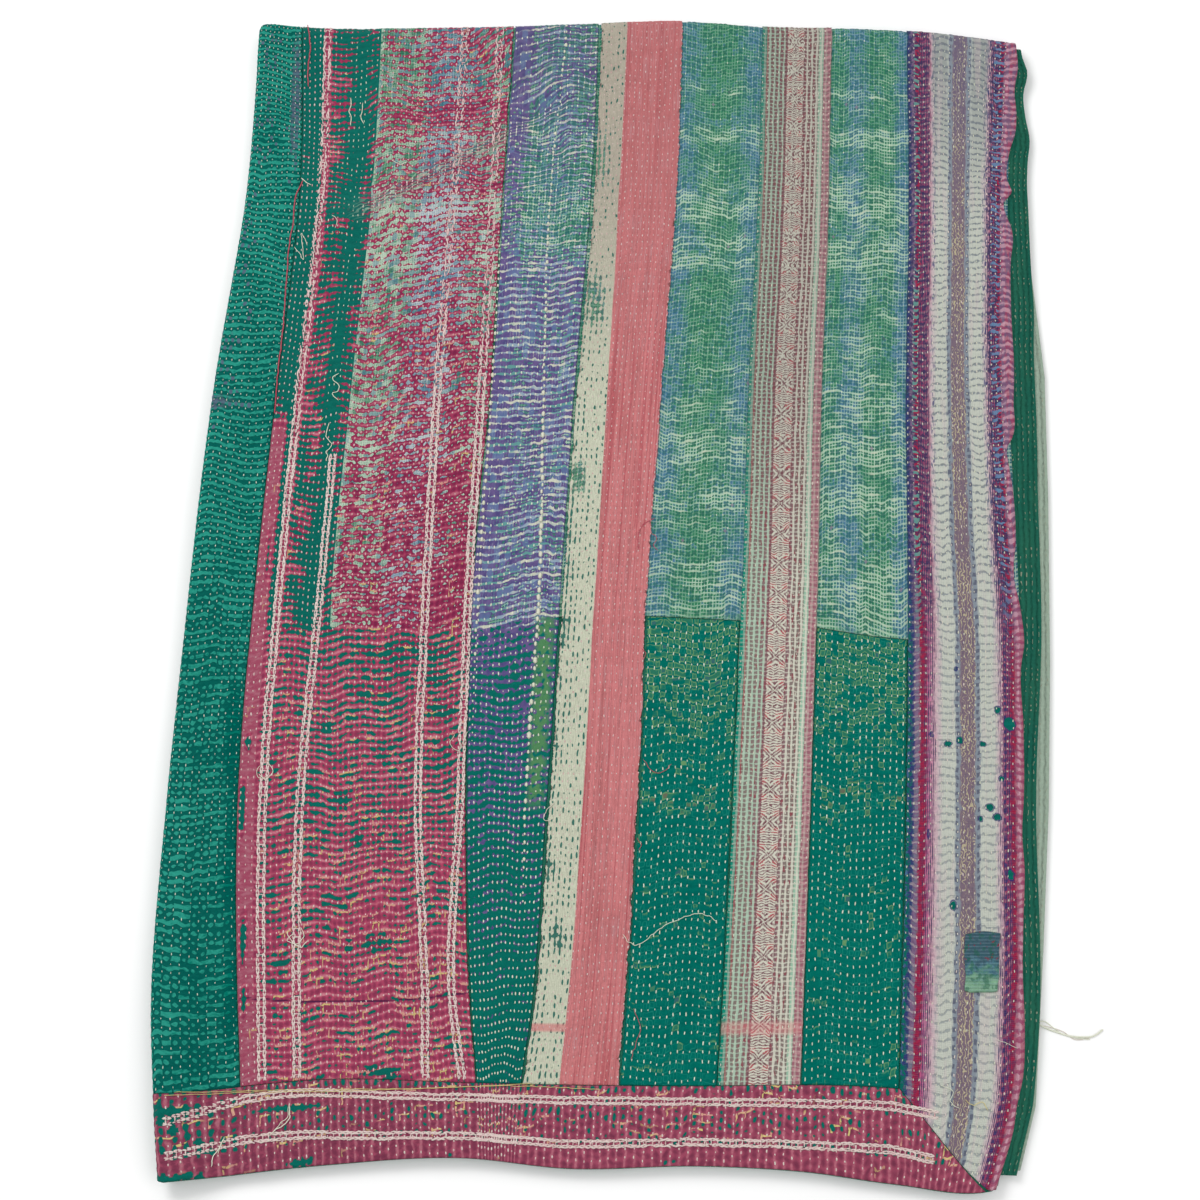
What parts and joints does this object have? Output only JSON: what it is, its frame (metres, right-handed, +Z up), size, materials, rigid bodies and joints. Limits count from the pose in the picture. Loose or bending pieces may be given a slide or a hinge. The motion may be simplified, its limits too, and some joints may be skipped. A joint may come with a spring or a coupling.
{
  "type": "kantha quilt",
  "caption": "Worn patched running-stitch quilt, folded once lengthwise and once crosswise, lying flat, with strips, panels and borders sewn on its face.",
  "frame": {"origin": "on the floor, under the middle of the folded quilt's footprint", "axes": "+X to the right, away from the lengthwise fold; +Y away from the open hems, to the crosswise fold; +Z up, out of the top face"},
  "size_m": [0.8272, 1.1566, 0.0264],
  "materials": {
    "ground_cloth": "matte quilted cotton, sea green, faded lighter on the puckers",
    "plaid_cloth": "matte cotton, blue and green plaid, worn to bars by the stitching",
    "magenta_cloth": "matte worn cotton, magenta with white yarn stripes and dark green showing through",
    "purple_cloth": "matte worn cotton, purple with pale blue bars",
    "cream_pink_cloth": "matte cotton, cream with a pink side, frayed edges",
    "woven_cloth": "matte corded cotton, mint and dusty pink with a small repeat",
    "side_border_cloth": "matte cotton, stripes of crimson, pink, white, purple and mauve",
    "bottom_border_cloth": "matte cotton, dusky magenta with white double lines",
    "darned_cloth": "matte darned cotton, teal with mint and red flecks",
    "stitch_thread": "matte cotton sewing thread, off-white"
  },
  "bodies": {
    "root": {"quilt_cloth": "ground_cloth", "plaid_panel": "plaid_cloth", "magenta_panel": "magenta_cloth", "purple_strip": "purple_cloth", "cream_pink_strip": "cream_pink_cloth", "woven_strip": "woven_cloth", "side_border": "side_border_cloth", "bottom_border": "bottom_border_cloth", "darned_patch": "darned_cloth"}
  },
  "joints": []
}
